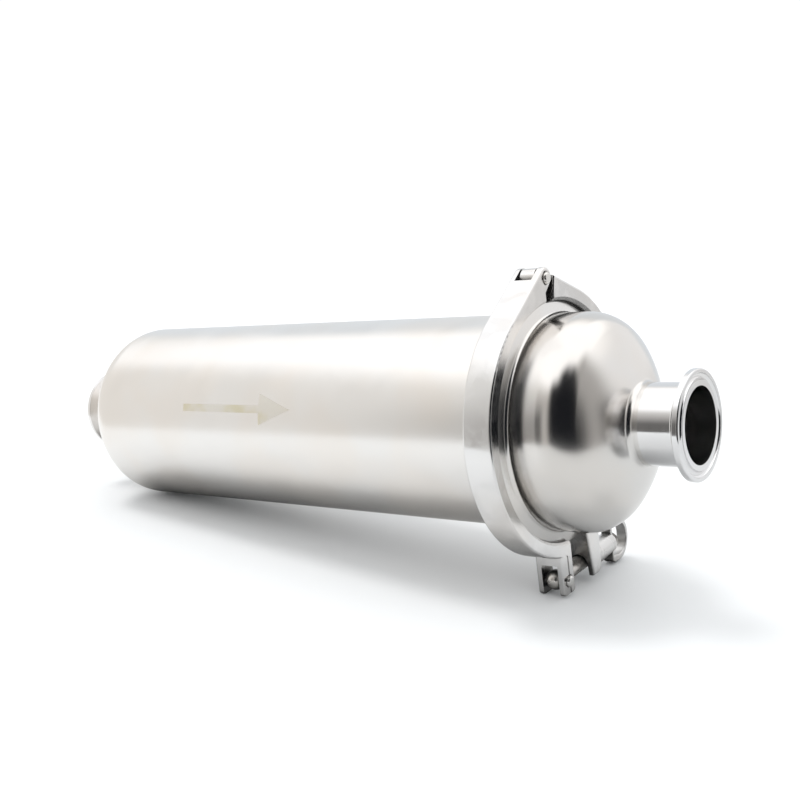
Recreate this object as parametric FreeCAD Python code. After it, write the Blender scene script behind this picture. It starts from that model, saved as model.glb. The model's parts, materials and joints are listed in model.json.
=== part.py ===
import FreeCAD, Part
import math
import os

# Sanitary inline filter, in millimetres.
# +X is the flow from inlet to outlet, +Z points to the hinge of the clamp, and the
# origin is the centre of the inlet ferrule's face.

V = FreeCAD.Vector

# Ports: ferrules for a 1.5 inch tube
PORT_TUBE_OD = 38.1
PORT_WALL = 1.5
PORT_FLANGE_HEIGHT = 6.2
PORT_GROOVE_HEIGHT = 2.7
PORT_GROOVE_RADIUS = 1.6
PORT_FERRULE_LENGTH = 21.5

# Flanges: what every clamp ferrule has in common
FLANGE_RIM = 2.85
FLANGE_TAPER = 20.0
FLANGE_EDGE_RADIUS = 0.8
FLANGE_ROOT_RADIUS = 2.0

# Body: DN100 tube
BODY_OD = 104.0
BODY_WALL = 2.0
BODY_TUBE_LENGTH = 256.0
BODY_FLANGE_HEIGHT = 7.5
BODY_GROOVE_HEIGHT = 3.0
BODY_GROOVE_RADIUS = 1.6
BODY_FERRULE_LENGTH = 21.5
CAP_FERRULE_LENGTH = 12.7

# Dished heads with a drawn collar for the port
HEAD_CROWN = 74.0
HEAD_KNUCKLE = 20.0
HEAD_COLLAR_RISE = 2.0
HEAD_COLLAR_FILLET = 3.0
CAP_SKIRT = 7.0

# Clamped joint
JOINT_GAP = 2.6
GASKET_OUTSIDE_INSET = 1.0
BEAD_CLEARANCE = 0.1
COLLAR_THICKNESS = 1.5
COLLAR_SEAT = 2.8
COLLAR_GASKET_CLEARANCE = 0.2

# Strainer
STRAINER_OD = 70.0
STRAINER_WALL = 1.5
STRAINER_LENGTH = 236.0
STRAINER_HOLE_DIA = 12.0
STRAINER_HOLES_ROUND = 8
STRAINER_HOLE_ROWS = 9
STRAINER_BLANK_END = 24.0
MESH_THICKNESS = 0.6
MESH_CLEARANCE = 0.1
BAND_WIDTH = 8.0
BAND_THICKNESS = 1.0
BAND_END_INSET = 8.0
PLUG_THICKNESS = 2.0
PLUG_SPIGOT = 4.0
PLUG_SPIGOT_WALL = 1.5

# Clamp rings
RING_WIDTH = 15.0
RING_BACK = 5.2
RING_RIM_CLEARANCE = 0.8
RING_SEAT_CLEARANCE = 0.15
RING_LIP_REACH = 1.4
RING_LIP_BEVEL = 1.4
RING_EDGE_RADIUS = 1.1

# Clamp hinge, seen along the tube
HINGE_Y = -4.0
HINGE_RISE = 4.0
HINGE_BOSS_RADIUS = 5.2
HINGE_TONGUE_RADIUS = 4.9
HINGE_TONGUE_WIDTH = 7.4
HINGE_SLOT_WIDTH = 9.0
HINGE_SLOT_BACK = 8.5
HINGE_PIN_DIA = 5.5
HINGE_FLOOR_CLEARANCE = 0.8
HINGE_FRONT_FACE_Y = -5.0
HINGE_REAR_FACE_LOW_Y = 1.0
HINGE_REAR_FACE_TOP_Y = 3.6
HINGE_REAR_FACE_RISE = 0.5
HINGE_BOSS_END_ANGLE = -20.0

# Bolt lugs of the clamp
BOLT_DROP = 11.0
LUG_BELOW_BOLT = 6.5
LUG_CORNER = 1.8
PIVOT_Y = -12.0
FRONT_LUG_OUTER_Y = -17.2
FRONT_LUG_INNER_Y = -6.8
FRONT_LUG_RECESS = 0.4
FRONT_LUG_RIB = 4.2
FORK_OUTER_Y = 21.5
FORK_INNER_TOP_Y = 8.2
FORK_INNER_LOW_Y = 12.6
FORK_SEAT_RADIUS = 4.5
LUG_SLOT_WIDTH = 9.0
LUG_SLOT_TOP_CLEARANCE = 2.2
PIVOT_PIN_DIA = 5.5

# Pins
PIN_PROUD = 1.3
PIN_HEAD_ROUND = 1.0
PIN_COUNTERSINK = 0.8
RUNNING_CLEARANCE = 0.05

# Swing bolt and nut
BOLT_DIA = 8.0
EYE_DIA = 10.0
EYE_SIDE_CLEARANCE = 0.3
BOLT_LENGTH = 60.0
BOLT_CHAMFER = 0.8
NUT_SEAT_GAP = 0.4
NUT_SEAT_DIA = 13.0
NUT_NECK_DIA = 10.8
NUT_SEAT_BEVEL = 0.8
NUT_HUB_LENGTH = 20.1
LOOP_WIDTH = 6.0
LOOP_BASE = 2.0
LOOP_LENGTH = 18.8
LOOP_OUTER_RADIUS = 11.7
LOOP_INNER_RADIUS = 8.35
LOOP_RIM = 2.0
LOOP_BASE_CORNER = 2.5
LOOP_EDGE_RADIUS = 0.7
LOOP_BOW_ANGLE = 105.0
LOOP_WINDOW_ANGLE = 115.0

# Working allowances
OVERRUN = 1.0
TOLERANCE = 1e-6

# Stations along the flow
HEAD_DEPTH = HEAD_CROWN - math.sqrt((HEAD_CROWN - HEAD_KNUCKLE) ** 2
                                    - (BODY_OD / 2 - HEAD_KNUCKLE) ** 2)
HEAD_LENGTH = HEAD_DEPTH + HEAD_COLLAR_RISE
TUBE_START_X = PORT_FERRULE_LENGTH + HEAD_LENGTH
TUBE_END_X = TUBE_START_X + BODY_TUBE_LENGTH
BODY_FACE_X = TUBE_END_X + BODY_FERRULE_LENGTH
CAP_FACE_X = BODY_FACE_X + JOINT_GAP
JOINT_X = (BODY_FACE_X + CAP_FACE_X) / 2
CAP_SKIRT_X = CAP_FACE_X + CAP_FERRULE_LENGTH
CAP_HEAD_X = CAP_SKIRT_X + CAP_SKIRT
OUTLET_X = CAP_HEAD_X + HEAD_LENGTH + PORT_FERRULE_LENGTH
STRAINER_END_X = BODY_FACE_X - STRAINER_LENGTH
RING_LOW_X = JOINT_X - RING_WIDTH / 2
RING_HIGH_X = JOINT_X + RING_WIDTH / 2

# Radii
PORT_OUTER = PORT_TUBE_OD / 2
PORT_BORE = PORT_OUTER - PORT_WALL
PORT_FLANGE = PORT_OUTER + PORT_FLANGE_HEIGHT
PORT_GROOVE = PORT_OUTER + PORT_GROOVE_HEIGHT
BODY_OUTER = BODY_OD / 2
BODY_BORE = BODY_OUTER - BODY_WALL
BODY_FLANGE = BODY_OUTER + BODY_FLANGE_HEIGHT
BODY_GROOVE = BODY_OUTER + BODY_GROOVE_HEIGHT
RING_ROOT = BODY_FLANGE + RING_RIM_CLEARANCE
RING_OUTER = RING_ROOT + RING_BACK
STRAINER_OUTER = STRAINER_OD / 2
STRAINER_BORE = STRAINER_OUTER - STRAINER_WALL
MESH_OUTER = STRAINER_OUTER + MESH_CLEARANCE + MESH_THICKNESS

# Centres of the clamp's pins
HINGE_Z = RING_OUTER + HINGE_RISE
BOLT_Z = -RING_OUTER - BOLT_DROP
LUG_LOW_Z = BOLT_Z - LUG_BELOW_BOLT


def shape_wire(to_point, start, steps):
    """Closed wire from a start corner; a step is a corner, or an arc's middle and end."""
    edges = []
    here = start
    for step in steps:
        if isinstance(step[0], tuple):
            middle, end = step
            edges.append(Part.Arc(to_point(here), to_point(middle), to_point(end)).toShape())
        else:
            end = step
            edges.append(Part.LineSegment(to_point(here), to_point(end)).toShape())
        here = end
    if here != start:
        edges.append(Part.LineSegment(to_point(here), to_point(start)).toShape())
    return Part.Wire(edges)


def turned(start, *steps):
    """Solid turned about the flow axis from an (x, radius) outline."""
    wire = shape_wire(lambda p: V(p[0], 0, p[1]), start, steps)
    return Part.Face(wire).revolve(V(0, 0, 0), V(1, 0, 0), 360)


def plate(low_x, width, start, *steps):
    """Flat plate across the flow from a (y, z) outline."""
    wire = shape_wire(lambda p: V(low_x, p[0], p[1]), start, steps)
    return Part.Face(wire).extrude(V(width, 0, 0))


def rod(radius, low_x, high_x, y, z):
    """Round rod along the flow."""
    return Part.makeCylinder(radius, high_x - low_x, V(low_x, y, z), V(1, 0, 0))


def block(low, high):
    """Box between two corners."""
    size = [b - a for a, b in zip(low, high)]
    return Part.makeBox(size[0], size[1], size[2], V(*low))


def arc_middle(centre, a, b):
    """Middle of the shorter arc from a to b round a centre."""
    ax, ay = a[0] - centre[0], a[1] - centre[1]
    bx, by = b[0] - centre[0], b[1] - centre[1]
    mx, my = ax + bx, ay + by
    scale = math.hypot(ax, ay) / math.hypot(mx, my)
    return centre[0] + mx * scale, centre[1] + my * scale


def bend(centre, start, end):
    """Outline step along the shorter arc from start to end round a centre."""
    return arc_middle(centre, start, end), end


def on_circle(centre, radius, degrees):
    """Point of a circle, measured from its first axis to its second."""
    angle = math.radians(degrees)
    return centre[0] + radius * math.cos(angle), centre[1] + radius * math.sin(angle)


def clamp_ferrule(face_x, away, length, flange_radius, neck_radius, bore_radius,
                  groove_middle, groove_radius):
    """Ferrule with a grooved face at face_x; away is +1 or -1, from the face to the neck."""
    def at(depth, radius):
        return face_x + away * depth, radius

    slope = math.tan(math.radians(FLANGE_TAPER))
    edge = FLANGE_EDGE_RADIUS
    root = FLANGE_ROOT_RADIUS
    half_turn = math.radians(90 - FLANGE_TAPER) / 2
    tangent = root * math.tan(half_turn)
    taper_foot = FLANGE_RIM + (flange_radius - neck_radius) * slope
    taper_run = math.hypot(1, slope)
    root_high = at(taper_foot - tangent * slope / taper_run, neck_radius + tangent / taper_run)
    root_low = at(taper_foot + tangent, neck_radius)
    root_centre = at(taper_foot + tangent, neck_radius + root)
    edge_centre = at(edge, flange_radius - edge)
    edge_face = at(0, flange_radius - edge)
    edge_rim = at(edge, flange_radius)
    return turned(
        at(0, bore_radius),
        at(0, groove_middle - groove_radius),
        (at(groove_radius, groove_middle), at(0, groove_middle + groove_radius)),
        edge_face,
        bend(edge_centre, edge_face, edge_rim),
        at(FLANGE_RIM, flange_radius),
        root_high,
        bend(root_centre, root_high, root_low),
        at(length, neck_radius),
        at(length, bore_radius))


def port_ferrule(face_x, away):
    return clamp_ferrule(face_x, away, PORT_FERRULE_LENGTH, PORT_FLANGE, PORT_OUTER,
                         PORT_BORE, PORT_GROOVE, PORT_GROOVE_RADIUS)


def body_ferrule(face_x, away, length):
    return clamp_ferrule(face_x, away, length, BODY_FLANGE, BODY_OUTER, BODY_BORE,
                         BODY_GROOVE, BODY_GROOVE_RADIUS)


def dished_head(base_x, away, skirt):
    """Dished head: skirt, knuckle, crown, and a collar drawn out to the port's size."""
    def at(depth, radius):
        return base_x + away * (skirt + depth), radius

    def skin(inset, port_radius, fillet):
        """Outline points of one skin, from the skirt to the end of the collar."""
        crown = HEAD_CROWN - inset
        knuckle = HEAD_KNUCKLE - inset
        crown_depth = HEAD_DEPTH - HEAD_CROWN
        knuckle_radius = BODY_OUTER - HEAD_KNUCKLE
        reach = HEAD_CROWN - HEAD_KNUCKLE
        meet = (crown_depth + crown * -crown_depth / reach, knuckle_radius * crown / reach)
        fillet_radius = port_radius + fillet
        fillet_depth = crown_depth + math.sqrt((crown + fillet) ** 2 - fillet_radius ** 2)
        share = crown / (crown + fillet)
        leave = (crown_depth + (fillet_depth - crown_depth) * share, fillet_radius * share)
        join = (fillet_depth, port_radius)
        crown_middle = arc_middle((crown_depth, 0), meet, leave)
        knuckle_middle = arc_middle((0, knuckle_radius), (0, BODY_OUTER - inset), meet)
        fillet_middle = arc_middle((fillet_depth, fillet_radius), leave, join)
        return [at(*p) for p in (meet, knuckle_middle, leave, crown_middle, join,
                                 fillet_middle)]

    outer = skin(0.0, PORT_OUTER, HEAD_COLLAR_FILLET)
    inner = skin(BODY_WALL, PORT_BORE, HEAD_COLLAR_FILLET + PORT_WALL)
    end = HEAD_DEPTH + HEAD_COLLAR_RISE
    steps = [(outer[1], outer[0]), (outer[3], outer[2]), (outer[5], outer[4]),
             at(end, PORT_OUTER), at(end, PORT_BORE), inner[4],
             (inner[5], inner[2]), (inner[3], inner[0]), (inner[1], at(0, BODY_BORE))]
    if skirt > 0:
        steps = [at(0, BODY_OUTER)] + steps + [(base_x, BODY_BORE)]
    return turned((base_x, BODY_OUTER), *steps)


def tube(low_x, high_x, outer, inner):
    return turned((low_x, outer), (high_x, outer), (high_x, inner), (low_x, inner))


def main_gasket():
    """Clamp gasket with a bead in each groove and a lip over the strainer's collar."""
    outside = BODY_FLANGE - GASKET_OUTSIDE_INSET
    middle = BODY_GROOVE
    bead = BODY_GROOVE_RADIUS - BEAD_CLEARANCE
    pocket = BODY_BORE + COLLAR_SEAT + COLLAR_GASKET_CLEARANCE
    lip_x = BODY_FACE_X + COLLAR_THICKNESS
    return turned(
        (lip_x, BODY_BORE),
        (lip_x, pocket),
        (BODY_FACE_X, pocket),
        (BODY_FACE_X, middle - bead),
        ((BODY_FACE_X - bead, middle), (BODY_FACE_X, middle + bead)),
        (BODY_FACE_X, outside),
        (CAP_FACE_X, outside),
        (CAP_FACE_X, middle + bead),
        ((CAP_FACE_X + bead, middle), (CAP_FACE_X, middle - bead)),
        (CAP_FACE_X, BODY_BORE))


def strainer_collar():
    return tube(BODY_FACE_X, BODY_FACE_X + COLLAR_THICKNESS, BODY_BORE + COLLAR_SEAT,
                STRAINER_BORE)


def strainer_tube():
    """Support tube with staggered rows of round holes."""
    shell = tube(STRAINER_END_X, BODY_FACE_X, STRAINER_OUTER, STRAINER_BORE)
    first_x = STRAINER_END_X + STRAINER_BLANK_END
    pitch = (STRAINER_LENGTH - 2 * STRAINER_BLANK_END) / (STRAINER_HOLE_ROWS - 1)
    turn = 360.0 / STRAINER_HOLES_ROUND
    cutters = []
    for row in range(STRAINER_HOLE_ROWS):
        start = turn / 2 if row % 2 else 0.0
        for hole in range(STRAINER_HOLES_ROUND):
            angle = math.radians(start + hole * turn)
            out = V(0, math.cos(angle), math.sin(angle))
            foot = V(first_x + row * pitch, 0, 0) + out * (STRAINER_BORE / 2)
            cutters.append(Part.makeCylinder(STRAINER_HOLE_DIA / 2, STRAINER_OUTER, foot, out))
    return shell.cut(cutters)


def strainer_mesh():
    return tube(STRAINER_END_X + BAND_END_INSET, BODY_FACE_X - BAND_END_INSET,
                MESH_OUTER, STRAINER_OUTER + MESH_CLEARANCE)


def mesh_band(low_x):
    return tube(low_x, low_x + BAND_WIDTH, MESH_OUTER + BAND_THICKNESS, MESH_OUTER)


def strainer_end_plug():
    """Disc on the end of the support tube, with a spigot inside it."""
    spigot = STRAINER_BORE - PLUG_SPIGOT_WALL
    return turned(
        (STRAINER_END_X - PLUG_THICKNESS, 0),
        (STRAINER_END_X - PLUG_THICKNESS, STRAINER_OUTER),
        (STRAINER_END_X, STRAINER_OUTER),
        (STRAINER_END_X, STRAINER_BORE),
        (STRAINER_END_X + PLUG_SPIGOT, STRAINER_BORE),
        (STRAINER_END_X + PLUG_SPIGOT, spigot),
        (STRAINER_END_X, spigot),
        (STRAINER_END_X, 0))


def ring_void():
    """What both clamp halves leave free: the V groove for the flanges and the mouth."""
    half = RING_WIDTH / 2
    beyond = half + RING_WIDTH
    slope = math.tan(math.radians(FLANGE_TAPER))
    stack = JOINT_GAP / 2 + FLANGE_RIM + RING_SEAT_CLEARANCE
    lip = BODY_FLANGE - RING_LIP_REACH
    mouth = lip + RING_LIP_BEVEL
    root_depth = stack - RING_RIM_CLEARANCE * slope
    lip_depth = stack + RING_LIP_REACH * slope
    side = [(beyond, 0), (beyond, mouth), (half, mouth), (half - RING_LIP_BEVEL, lip),
            (lip_depth, lip), (root_depth, RING_ROOT)]
    points = [(JOINT_X + a, r) for a, r in side]
    points += [(JOINT_X - a, r) for a, r in reversed(side)]
    return turned(points[0], *points[1:])


def touch_angle(point, radius, side):
    """Direction from the flow axis to where a line from a (y, z) point touches a circle."""
    direction = math.degrees(math.atan2(point[1], point[0]))
    return direction + side * math.degrees(math.acos(radius / math.hypot(*point)))


def round_faces(body, low_x, width, radius):
    """Round every edge that lies in one of the two faces across the flow."""
    ends = (low_x, low_x + width)
    rims = [e for e in body.Edges
            if any(abs(e.BoundBox.XMin - x) < TOLERANCE and abs(e.BoundBox.XMax - x) < TOLERANCE
                   for x in ends)]
    return body.makeFillet(radius, rims)


def rounded_plate(low_x, width, start, *steps):
    """Plate whose edges round both faces are rounded, as a casting's are."""
    return round_faces(plate(low_x, width, start, *steps), low_x, width, RING_EDGE_RADIUS)


def lug_slot(low_y, high_y, top_z):
    """Slot between the two ears of a lug, open at the bottom."""
    low_x = JOINT_X - LUG_SLOT_WIDTH / 2
    return block((low_x, low_y, LUG_LOW_Z - LUG_BELOW_BOLT),
                 (low_x + LUG_SLOT_WIDTH, high_y, top_z))


def countersunk_hole(dia, y, z):
    """Pin hole through the whole width, wider at both mouths."""
    shaft = rod(dia / 2, RING_LOW_X - OVERRUN, RING_HIGH_X + OVERRUN, y, z)
    wide = dia / 2 + PIN_COUNTERSINK
    low = Part.makeCone(wide, dia / 2, PIN_COUNTERSINK, V(RING_LOW_X, y, z), V(1, 0, 0))
    high = Part.makeCone(wide, dia / 2, PIN_COUNTERSINK, V(RING_HIGH_X, y, z), V(-1, 0, 0))
    return [shaft, low, high]


def hinge_slot():
    """Slot in the front half for the tongue of the rear half."""
    low_x = JOINT_X - HINGE_SLOT_WIDTH / 2
    floor_z = HINGE_Z - HINGE_TONGUE_RADIUS - HINGE_FLOOR_CLEARANCE
    reach = HINGE_BOSS_RADIUS + HINGE_SLOT_BACK
    return block((low_x, HINGE_Y - HINGE_SLOT_BACK, floor_z),
                 (low_x + HINGE_SLOT_WIDTH, HINGE_Y + reach, HINGE_Z + reach))


def lug_recess(side):
    """Shallow step on the outside of a front ear, which leaves a rib beside the joint."""
    rib_y = FRONT_LUG_INNER_Y - FRONT_LUG_RIB
    face = JOINT_X + side * RING_WIDTH / 2
    low_x = min(face, face - side * FRONT_LUG_RECESS)
    top_z = -math.sqrt(RING_OUTER ** 2 - FRONT_LUG_OUTER_Y ** 2)
    corner = (rib_y - LUG_CORNER, top_z - LUG_CORNER)
    start = (rib_y, top_z - LUG_CORNER)
    high = (rib_y - LUG_CORNER, top_z)
    outer_y = FRONT_LUG_OUTER_Y - RING_EDGE_RADIUS
    low_z = LUG_LOW_Z - RING_EDGE_RADIUS
    return plate(low_x, FRONT_LUG_RECESS, start,
                 bend(corner, start, high),
                 (outer_y, top_z), (outer_y, low_z), (rib_y, low_z))


def clamp_front_half():
    """Half ring with the hinge ears above and the two ears for the bolt's pin below."""
    hinge = (HINGE_Y, HINGE_Z)
    ring = RING_OUTER
    centres = math.hypot(*hinge)
    lean = math.degrees(math.atan2(HINGE_Z, HINGE_Y))
    touch = lean + math.degrees(math.acos((ring - HINGE_BOSS_RADIUS) / centres))
    boss_touch = on_circle(hinge, HINGE_BOSS_RADIUS, touch)
    ring_touch = on_circle((0, 0), ring, touch)
    lug_top = (FRONT_LUG_OUTER_Y, -math.sqrt(ring ** 2 - FRONT_LUG_OUTER_Y ** 2))
    inside = BODY_OUTER
    seam_low = (HINGE_FRONT_FACE_Y, inside)
    seam_turn = on_circle(hinge, HINGE_BOSS_RADIUS, HINGE_BOSS_END_ANGLE)
    seam_foot = (HINGE_FRONT_FACE_Y, HINGE_Z - HINGE_BOSS_RADIUS - LUG_CORNER)
    corner = LUG_CORNER
    outer_high = (FRONT_LUG_OUTER_Y, LUG_LOW_Z + corner)
    outer_low = (FRONT_LUG_OUTER_Y + corner, LUG_LOW_Z)
    inner_low = (FRONT_LUG_INNER_Y - corner, LUG_LOW_Z)
    inner_high = (FRONT_LUG_INNER_Y, LUG_LOW_Z + corner)
    blank = rounded_plate(
        RING_LOW_X, RING_WIDTH,
        seam_low, seam_foot, seam_turn,
        bend(hinge, seam_turn, boss_touch),
        ring_touch,
        bend((0, 0), ring_touch, lug_top),
        outer_high,
        bend((outer_low[0], outer_high[1]), outer_high, outer_low),
        inner_low,
        bend((inner_low[0], inner_high[1]), inner_low, inner_high),
        (FRONT_LUG_INNER_Y, -inside))
    slot_top = -RING_OUTER - LUG_SLOT_TOP_CLEARANCE
    cutters = [ring_void(), hinge_slot(),
               lug_slot(FRONT_LUG_OUTER_Y - OVERRUN, FRONT_LUG_INNER_Y + OVERRUN, slot_top),
               lug_recess(1), lug_recess(-1)]
    cutters += countersunk_hole(HINGE_PIN_DIA, HINGE_Y, HINGE_Z)
    cutters += countersunk_hole(PIVOT_PIN_DIA, PIVOT_Y, BOLT_Z)
    return blank.cut(cutters)


def hinge_tongue():
    """Flat tongue round the hinge pin, running into the rear half ring."""
    low_x = JOINT_X - HINGE_TONGUE_WIDTH / 2
    top = (HINGE_Y, HINGE_Z + HINGE_TONGUE_RADIUS)
    bottom = (HINGE_Y, HINGE_Z - HINGE_TONGUE_RADIUS)
    far = HINGE_REAR_FACE_TOP_Y + HINGE_TONGUE_RADIUS
    far_top = HINGE_Z + HINGE_REAR_FACE_RISE - LUG_CORNER
    back = (HINGE_Y - HINGE_TONGUE_RADIUS, HINGE_Z)
    return plate(low_x, HINGE_TONGUE_WIDTH, top, (far, far_top), (far, bottom[1]), bottom,
                 (back, top))


def clamp_rear_half():
    """Half ring with the hinge tongue above and the open fork for the bolt below."""
    ring = RING_OUTER
    inside = BODY_OUTER
    top = (HINGE_REAR_FACE_TOP_Y, HINGE_Z + HINGE_REAR_FACE_RISE)
    ring_touch = on_circle((0, 0), ring, touch_angle(top, ring, -1))
    lug_top = (FORK_OUTER_Y, -math.sqrt(ring ** 2 - FORK_OUTER_Y ** 2))
    seat = FORK_SEAT_RADIUS
    seat_high = (FORK_OUTER_Y, LUG_LOW_Z + seat)
    seat_low = (FORK_OUTER_Y - seat, LUG_LOW_Z)
    low_seam = (HINGE_REAR_FACE_LOW_Y, RING_ROOT)
    blank = rounded_plate(
        RING_LOW_X, RING_WIDTH,
        (HINGE_REAR_FACE_LOW_Y, inside), low_seam, top, ring_touch,
        bend((0, 0), ring_touch, lug_top),
        seat_high,
        bend((seat_low[0], seat_high[1]), seat_high, seat_low),
        (FORK_INNER_LOW_Y, LUG_LOW_Z),
        (FORK_INNER_TOP_Y, -inside))
    round_top = Part.makeCylinder(LUG_SLOT_WIDTH / 2, FORK_OUTER_Y, V(JOINT_X, 0, BOLT_Z),
                                  V(0, 1, 0))
    round_top = round_top.fuse(lug_slot(0, FORK_OUTER_Y + OVERRUN, BOLT_Z))
    body = blank.cut([ring_void()]).fuse(hinge_tongue())
    bore = rod(HINGE_PIN_DIA / 2 + RUNNING_CLEARANCE, RING_LOW_X, RING_HIGH_X, HINGE_Y, HINGE_Z)
    return body.cut([round_top, bore])


def pin(dia, y, z):
    """Pin through the width of the clamp, with rounded ends that stand proud."""
    low_x = RING_LOW_X - PIN_PROUD
    high_x = RING_HIGH_X + PIN_PROUD
    body = rod(dia / 2, low_x, high_x, y, z)
    ends = [e for e in body.Edges if isinstance(e.Curve, Part.Circle)]
    return body.makeFillet(PIN_HEAD_ROUND, ends)


def eye_bolt():
    """Swing bolt: a ball eye with flat sides on a plain shank."""
    width = LUG_SLOT_WIDTH - 2 * EYE_SIDE_CLEARANCE
    centre = V(JOINT_X, PIVOT_Y, BOLT_Z)
    ball = Part.makeSphere(EYE_DIA / 2, centre)
    slab = block((JOINT_X - width / 2, PIVOT_Y - EYE_DIA, BOLT_Z - EYE_DIA),
                 (JOINT_X + width / 2, PIVOT_Y + EYE_DIA, BOLT_Z + EYE_DIA))
    shank = Part.makeCylinder(BOLT_DIA / 2, BOLT_LENGTH, centre, V(0, 1, 0))
    tip = [e for e in shank.Edges if e.BoundBox.YMin > PIVOT_Y + BOLT_LENGTH - TOLERANCE]
    shank = shank.makeChamfer(BOLT_CHAMFER, tip)
    hole = rod(PIVOT_PIN_DIA / 2 + RUNNING_CLEARANCE, RING_LOW_X, RING_HIGH_X, PIVOT_Y, BOLT_Z)
    return ball.common(slab).fuse(shank).cut(hole)


def ring_nut():
    """Nut with a long tapered hub and a closed D loop beyond it."""
    seat_y = FORK_OUTER_Y + NUT_SEAT_GAP
    base_y = seat_y + NUT_HUB_LENGTH
    inner_y = base_y + LOOP_BASE
    tip_y = base_y + LOOP_LENGTH
    outer = LOOP_OUTER_RADIUS
    inner = LOOP_INNER_RADIUS
    low_x = JOINT_X - LOOP_WIDTH / 2
    corner = LOOP_BASE_CORNER
    bow_centre = (tip_y - outer, BOLT_Z)
    hole_centre = (tip_y - LOOP_RIM - inner, BOLT_Z)
    bow_top = on_circle(bow_centre, outer, LOOP_BOW_ANGLE)
    bow_low = on_circle(bow_centre, outer, -LOOP_BOW_ANGLE)
    hole_top = on_circle(hole_centre, inner, LOOP_WINDOW_ANGLE)
    hole_low = on_circle(hole_centre, inner, -LOOP_WINDOW_ANGLE)
    side_y = base_y + corner
    foot_top = (base_y, bow_top[1] - corner)
    side_top = (side_y, bow_top[1])
    side_low = (side_y, bow_low[1])
    foot_low = (base_y, bow_low[1] + corner)
    loop = plate(low_x, LOOP_WIDTH,
                 foot_low, foot_top,
                 bend((side_y, foot_top[1]), foot_top, side_top),
                 bow_top,
                 ((tip_y, BOLT_Z), bow_low),
                 side_low,
                 bend((side_y, foot_low[1]), side_low, foot_low))
    window = plate(low_x - OVERRUN, LOOP_WIDTH + 2 * OVERRUN,
                   (inner_y, hole_low[1]), (inner_y, hole_top[1]), hole_top,
                   ((tip_y - LOOP_RIM, BOLT_Z), hole_low))
    loop = round_faces(loop.cut(window), low_x, LOOP_WIDTH, LOOP_EDGE_RADIUS)
    hub = Part.makeCone(NUT_SEAT_DIA / 2, NUT_NECK_DIA / 2, NUT_HUB_LENGTH + LOOP_BASE / 2,
                        V(JOINT_X, seat_y, BOLT_Z), V(0, 1, 0))
    seat_edge = [e for e in hub.Edges if e.BoundBox.YMax < seat_y + TOLERANCE]
    hub = hub.makeChamfer(NUT_SEAT_BEVEL, seat_edge)
    bore = Part.makeCylinder(BOLT_DIA / 2 + RUNNING_CLEARANCE, NUT_HUB_LENGTH + LOOP_LENGTH / 2,
                             V(JOINT_X, seat_y, BOLT_Z), V(0, 1, 0))
    return hub.fuse(loop).cut(bore)


PIECES = {
    "body_tube": tube(TUBE_START_X, TUBE_END_X, BODY_OUTER, BODY_BORE),
    "inlet_dome": dished_head(TUBE_START_X, -1, 0.0),
    "inlet_ferrule": port_ferrule(0.0, 1),
    "body_clamp_ferrule": body_ferrule(BODY_FACE_X, -1, BODY_FERRULE_LENGTH),
    "cap_clamp_ferrule": body_ferrule(CAP_FACE_X, 1, CAP_FERRULE_LENGTH),
    "cap_dome": dished_head(CAP_SKIRT_X, 1, CAP_SKIRT),
    "outlet_ferrule": port_ferrule(OUTLET_X, -1),
    "main_gasket": main_gasket(),
    "strainer_collar": strainer_collar(),
    "strainer_tube": strainer_tube(),
    "strainer_mesh": strainer_mesh(),
    "mesh_band_inlet": mesh_band(STRAINER_END_X + BAND_END_INSET),
    "mesh_band_outlet": mesh_band(BODY_FACE_X - BAND_END_INSET - BAND_WIDTH),
    "strainer_end_plug": strainer_end_plug(),
    "clamp_front_half": clamp_front_half(),
    "clamp_rear_half": clamp_rear_half(),
    "clamp_hinge_pin": pin(HINGE_PIN_DIA, HINGE_Y, HINGE_Z),
    "bolt_pivot_pin": pin(PIVOT_PIN_DIA, PIVOT_Y, BOLT_Z),
    "eye_bolt": eye_bolt(),
    "ring_nut": ring_nut(),
}

os.makedirs("parts", exist_ok=True)
for name, shape in PIECES.items():
    solids = shape.Solids
    whole = solids[0] if len(solids) == 1 else Part.Compound(solids)
    whole.exportStep(os.path.join("parts", name + ".step"))
    box = whole.BoundBox
    print("%-20s solids %d valid %s volume %.0f  x %.1f %.1f  y %.1f %.1f  z %.1f %.1f" % (
        name, len(solids), whole.isValid(), whole.Volume, box.XMin, box.XMax, box.YMin,
        box.YMax, box.ZMin, box.ZMax))
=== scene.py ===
"""Gives a sanitary inline filter its finish: turned and polished skins, a cast clamp, a rolled
thread and a pale studio."""

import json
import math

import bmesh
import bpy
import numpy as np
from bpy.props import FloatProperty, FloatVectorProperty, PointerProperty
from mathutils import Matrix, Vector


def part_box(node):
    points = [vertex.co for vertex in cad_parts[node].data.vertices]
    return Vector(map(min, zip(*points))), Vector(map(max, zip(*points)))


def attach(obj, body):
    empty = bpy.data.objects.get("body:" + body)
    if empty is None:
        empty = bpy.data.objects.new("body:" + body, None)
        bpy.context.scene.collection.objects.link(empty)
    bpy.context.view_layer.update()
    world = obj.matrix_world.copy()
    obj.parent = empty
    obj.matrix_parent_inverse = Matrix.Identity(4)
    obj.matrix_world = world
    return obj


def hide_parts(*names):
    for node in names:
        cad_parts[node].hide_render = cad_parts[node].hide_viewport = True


bl_info = {
    "name": "Sanitary inline filter",
    "version": (1, 0, 0),
    "blender": (4, 5, 0),
    "location": "View3D > Sidebar > Filter",
    "description": "Builds the finished surfaces of a tubular inline filter and a pale studio",
    "category": "Object",
}

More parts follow.
